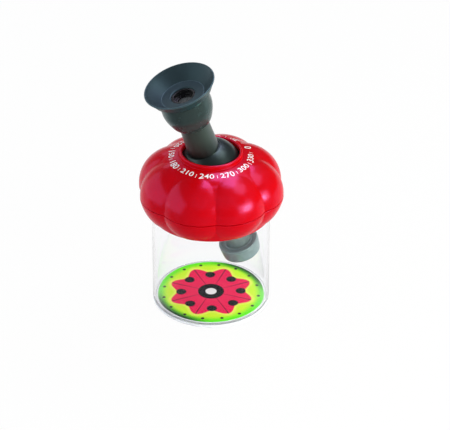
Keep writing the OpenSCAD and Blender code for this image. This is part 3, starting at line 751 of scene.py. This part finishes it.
def ball_and_neck():
    """The upper half of the ball, hollow, with the tapered neck that leaves it in a small groove."""
    neck_r, neck_top_r = 10.66, 9.7
    sleeve_r, lap_r, lap, rim = 11.3, 10.36, 0.8, 1.0
    hollow_low, hollow_top = 2.0, 16.0
    outline = np.vstack([
        ball_arc(BALL_R, 0, BALL_TOP_S, 40),
        soft_outline([
            (11.42, BALL_TOP_S), (11.3, BALL_TOP_S - 0.7, 0.1), (10.75, BALL_TOP_S - 0.6, 0.1),
            (neck_r, BALL_TOP_S + 0.9, 0.3), (neck_top_r, NECK_TOP_S, 0.3), (NECK_BORE_R, NECK_TOP_S, 0.2),
            (NECK_BORE_R, lap), (lap_r, lap), (lap_r, 0), (sleeve_r, 0), (10.76, hollow_top + 0.14)], 5),
        ball_arc(BALL_HOLLOW_R, hollow_low, hollow_top, 24)[::-1],
        [(BALL_R - rim, hollow_low), (BALL_R - rim, 0)]])
    return tube_skin("ball_and_neck", outline, "ball", ball_grey, "ball_neck")


def barrel_tube():
    """The straight tube."""
    outline = soft_outline([
        (BARREL_BORE_R, BARREL_LOW_S), (BARREL_R, BARREL_LOW_S, 0.2), (BARREL_R, BARREL_TOP_S, 0.2),
        (BARREL_BORE_R, BARREL_TOP_S, 0.2), (BARREL_BORE_R, BARREL_LOW_S)], 4)
    return tube_skin("barrel_tube", outline, "tube", barrel_grey, "barrel")


def eyepiece_bulb():
    """The bulb-shaped housing: a smooth swelling side, and a bore that takes the cell and the eyecup."""
    side = [(11.6, 40.3), (12.4, 41.25), (13.8, 43.4), (15.1, 46.5), (16.3, 50.1), (16.9, 53.6),
            (16.87, 57.6), (16.72, 62.2)]
    foot_r, seat_s = 10.3, BARREL_TOP_S - 2
    outline = np.vstack([
        soft_outline([(foot_r, BULB_LOW_S), (11.15, BULB_LOW_S, 0.25), side[0]], 5)[:-1],
        flowing(side, 8),
        soft_outline([
            side[-1], (16.66, BULB_TOP_S, 0.15), (BULB_BORE_R, BULB_TOP_S, 0.2), (BULB_BORE_R, BARREL_TOP_S),
            (HOLDER_R, BARREL_TOP_S), (HOLDER_R, seat_s), (foot_r, seat_s), (foot_r, BULB_LOW_S)], 4)[1:]])
    return tube_skin("eyepiece_bulb", outline, "tube", bulb_grey, "eyepiece_body")


def eyecup_flared():
    """The flared cup: a cone outside, a rounded rim, a cone inside, and a flat floor with a low ridge."""
    outside = [(20.5, 66.1), (21.3, 67.4), (22.3, 69.0), (23.45, 70.75)]
    inside = [(22.55, 71.2), (21.2, 69.75), (18.6, 67.3), (16.3, 65.2), (15.0, 64.05)]
    rim = [outside[-1], (23.97, 71.45, 0.35), (23.6, CUP_TOP_S, 0.3), (23.0, CUP_TOP_S, 0.3), inside[0]]
    outline = np.vstack([
        soft_outline([(CUP_HOLE_R, CUP_LOW_S), (INSERT_R, CUP_LOW_S, 0.3), (INSERT_R, BULB_TOP_S),
                      (16.6, BULB_TOP_S), (20.25, 65.4, 0.5), outside[0]], 5)[:-1],
        flowing(outside, 6),
        soft_outline(rim, 5)[1:-1],
        flowing(inside, 6),
        soft_outline([inside[-1], (14.72, 63.8, 0.1), (14.45, 63.92, 0.15), (14.05, 63.8, 0.2),
                      (CUP_HOLE_R + 0.6, 63.6, 0.3), (CUP_HOLE_R, 63.1, 0.3), (CUP_HOLE_R, CUP_LOW_S)],
                     5)[1:]])
    return tube_skin("eyecup_flared", outline, "tube", cup_rubber, "eyecup")


def lens_cell_steps():
    """The black cell: a flange in the bulb's bore, a sleeve through the eyecup's floor, and three steps
    down to the eye lens."""
    flange_top_s, base_r = BARREL_TOP_S + 1.4, 6.63
    sleeve_r, sleeve_top_s = 7.97, 62.8
    wide_r, middle_r, narrow_r = 6.7, 5.95, 5.2
    high_s, middle_s, low_s = 60.0, 58.9, 57.8
    outline = soft_outline([
        (base_r, BARREL_TOP_S), (INSERT_R, BARREL_TOP_S, 0.2), (INSERT_R, flange_top_s, 0.2),
        (sleeve_r, flange_top_s, 0.2), (sleeve_r, sleeve_top_s, 0.15), (wide_r, sleeve_top_s, 0.15),
        (wide_r, high_s, 0.1), (middle_r, high_s, 0.12), (middle_r, middle_s, 0.1),
        (narrow_r, middle_s, 0.12), (narrow_r, low_s, 0.1), (base_r, low_s, 0.05),
        (base_r, BARREL_TOP_S)], 4)
    return tube_skin("lens_cell_steps", outline, "tube", cell_black, "lens_cell")


def objective_cap_ridged():
    """The cap at the barrel's lower end: a widening side with a groove and a ridge, and a dished top."""
    mouth_r, glass_r, glass_low_s = 10.63, 8.1, -71.0
    dish_s, collar_s, top_s = -65.4, -64.8, -64.4
    outline = soft_outline([
        (mouth_r, OBJECTIVE_LOW_S), (12.9, OBJECTIVE_LOW_S, 0.3), (13.3, OBJECTIVE_LOW_S + 0.4, 0.5),
        (13.95, -66.6, 0.3), (13.6, -66.0, 0.3), (14.0, dish_s, 0.5), (13.6, top_s, 0.7),
        (12.0, top_s, 0.6), (11.4, dish_s, 0.4), (9.9, dish_s, 0.5), (9.5, collar_s, 0.3),
        (HOLDER_R, collar_s, 0.2), (HOLDER_R, BARREL_LOW_S), (glass_r, BARREL_LOW_S),
        (glass_r, glass_low_s), (mouth_r, glass_low_s), (mouth_r, OBJECTIVE_LOW_S)], 6)
    return tube_skin("objective_cap_ridged", outline, "tube", objective_grey,
                     "objective_cap")


ball_and_neck()
barrel_tube()
eyepiece_bulb()
eyecup_flared()
lens_cell_steps()
objective_cap_ridged()


# The studio: white floor, soft panels and the camera

CAMERA_TURN = math.radians(-24)
CAMERA_ELEVATION, CAMERA_AWAY, CAMERA_AIM_Z = 32.25, 1.4, 0.06522
CAMERA_LENS, CAMERA_SHIFT, PHOTO_WIDTH = 165.46, 14, 450
FLOOR_HALF, FLOOR_DROP = 6.0, 0.0002
PAPER_WHITE, PAPER_DIM, PAPER_TURN = 0.95, 0.08, (-0.10, 0.09)
BACKDROP_AZIMUTH, BACKDROP_EDGE, BACKDROP_LIGHT = 25, (0.90, 0.99), 0.4
ROOM_LIGHT, ROOM_DIM = 0.36, 0.08
PANEL_AWAY, PANEL_AIM_Z = 0.9, 0.09


def towards(azimuth, elevation):
    """Unit vector from the jar to a point of the studio: azimuth 0 is the camera's side."""
    a, e = CAMERA_TURN + math.radians(azimuth), math.radians(elevation)
    return np.array([math.sin(a) * math.cos(e), -math.cos(a) * math.cos(e), math.sin(e)])


def facing(way):
    """Turn that points an object's -z axis back along the given way."""
    return Vector(tuple(way)).to_track_quat("Z", "Y").to_euler()


def along(tree, coordinates, way):
    """How far a Texture Coordinate output lies along a unit vector of the room."""
    product = add(tree, "ShaderNodeVectorMath",
                  i0=tree.nodes.new("ShaderNodeTexCoord").outputs[coordinates])
    product.operation = "DOT_PRODUCT"
    product.inputs[1].default_value = tuple(way)
    return product.outputs["Value"]


def mirror_ray(tree, path):
    """1 for a ray that a glossy surface sent back, 0 for any other, also one that came through glass."""
    return maths(tree, "MULTIPLY", path.outputs["Is Glossy Ray"], maths(
        tree, "SUBTRACT", 1.0, path.outputs["Is Transmission Ray"]))


def studio_floor():
    """White paper. It is as good as plain white to the camera and through clear plastic, with a trace of
    the jar's shadow. Mirrored, it is bright behind the jar and dim in front of it."""
    material = bpy.data.materials.new("studio_white")
    tree = nodes_of(material)
    path = tree.nodes.new("ShaderNodeLightPath")
    seen = maths(tree, "MAXIMUM", path.outputs["Is Camera Ray"], path.outputs["Is Transmission Ray"])
    mirror = mirror_ray(tree, path)
    white = maths(tree, "MAXIMUM", maths(tree, "MULTIPLY", seen, PAPER_WHITE), mirror)
    mirrored = fade(tree, along(tree, "Object", -towards(0, 0)), *PAPER_TURN, PAPER_DIM, 1.0)
    matt = add(tree, "ShaderNodeBsdfPrincipled", Base_Color=(0.88, 0.88, 0.88, 1), Roughness=0.8)
    matt.inputs["Specular IOR Level"].default_value = 0.1
    glow = add(tree, "ShaderNodeEmission", Color=blend(tree, mirror, (1, 1, 1, 1), mirrored), Strength=1.0)
    finish_with(tree, add(tree, "ShaderNodeMixShader", i0=white, i1=matt.outputs[0], i2=glow.outputs[0]))
    mesh = bpy.data.meshes.new("studio_floor")
    mesh.from_pydata([(-FLOOR_HALF, -FLOOR_HALF, 0), (FLOOR_HALF, -FLOOR_HALF, 0),
                      (FLOOR_HALF, FLOOR_HALF, 0), (-FLOOR_HALF, FLOOR_HALF, 0)], [], [(0, 1, 2, 3)])
    mesh.materials.append(material)
    floor = bpy.data.objects.new("studio_floor", mesh)
    bpy.context.scene.collection.objects.link(floor)
    floor.location = (0, 0, -FLOOR_DROP)


def studio_world():
    """Plain white to the camera and through clear plastic, and a pale even light on the jar. Mirrored, a
    backdrop is bright behind the jar and the rest of the room is dim."""
    world = bpy.data.worlds.new("studio_world")
    bpy.context.scene.world = world
    tree = nodes_of(world)
    behind = along(tree, "Generated", -towards(BACKDROP_AZIMUTH, 0))
    backdrop = fade(tree, behind, *BACKDROP_EDGE, 0.0, BACKDROP_LIGHT)
    path = tree.nodes.new("ShaderNodeLightPath")
    mirror = mirror_ray(tree, path)
    seen = maths(tree, "MAXIMUM", path.outputs["Is Camera Ray"], maths(
        tree, "MAXIMUM", path.outputs["Is Transmission Ray"], maths(tree, "MULTIPLY", mirror, backdrop)))
    room = maths(tree, "MULTIPLY_ADD", mirror, ROOM_DIM - ROOM_LIGHT, ROOM_LIGHT)
    around = add(tree, "ShaderNodeBackground", Color=(0.93, 0.97, 1.0, 1), Strength=room)
    white = add(tree, "ShaderNodeBackground", Color=(1, 1, 1, 1), Strength=1.0)
    finish_with(tree, add(tree, "ShaderNodeMixShader", i0=seen, i1=around.outputs[0], i2=white.outputs[0]),
                "ShaderNodeOutputWorld")


def panel(name, azimuth, elevation, size, glare, colour=(1, 1, 1), matt=True, gloss=True):
    """A soft light panel on the given side that faces the lid, as bright as a white paper times glare.
    Matt and gloss say which surfaces it lights."""
    lamp = bpy.data.lights.new(name, "AREA")
    lamp.shape = "RECTANGLE"
    lamp.size, lamp.size_y = size
    lamp.energy = glare * math.pi * size[0] * size[1]
    lamp.color = colour
    holder = bpy.data.objects.new(name, lamp)
    bpy.context.scene.collection.objects.link(holder)
    way = towards(azimuth, elevation)
    holder.location = tuple(way * PANEL_AWAY + np.array([0, 0, PANEL_AIM_Z]))
    holder.rotation_euler = facing(way)
    holder.visible_diffuse = matt
    holder.visible_glossy = gloss


def studio_camera():
    """The camera at the photograph's viewing angle. Its shift is in shares of the photograph's width."""
    data = bpy.data.cameras.new("studio_camera")
    data.sensor_width = 36
    data.lens = CAMERA_LENS
    data.shift_x = CAMERA_SHIFT / PHOTO_WIDTH
    data.clip_end = 50
    camera = bpy.data.objects.new("studio_camera", data)
    bpy.context.scene.collection.objects.link(camera)
    back = towards(0, CAMERA_ELEVATION)
    camera.location = tuple(back * CAMERA_AWAY + np.array([0, 0, CAMERA_AIM_Z]))
    camera.rotation_euler = facing(back)
    bpy.context.scene.camera = camera


studio_floor()
studio_world()
panel("panel_right", 58, 13, (0.66, 0.40), 4.0, (0.94, 1.0, 0.97))
panel("panel_key", 60, 11, (0.30, 0.22), 15.0, (1.0, 1.0, 0.78))
panel("panel_left", -92, 18, (1.60, 0.84), 1.15, (0.94, 0.97, 1.0))
panel("panel_top", 168, 67, (0.56, 0.66), 5.0, (1.0, 0.9, 1.3), matt=False)
panel("panel_ball", 96, 60, (0.46, 0.40), 2.8, matt=False)
panel("panel_small", -160, 30, (0.30, 0.22), 1.5)
panel("fill_front", 5, 47, (0.95, 0.75), 0.9, gloss=False)
panel("fill_back", 125, 47, (0.95, 0.75), 1.5, gloss=False)
studio_camera()
bpy.context.scene.view_settings.view_transform = "Standard"
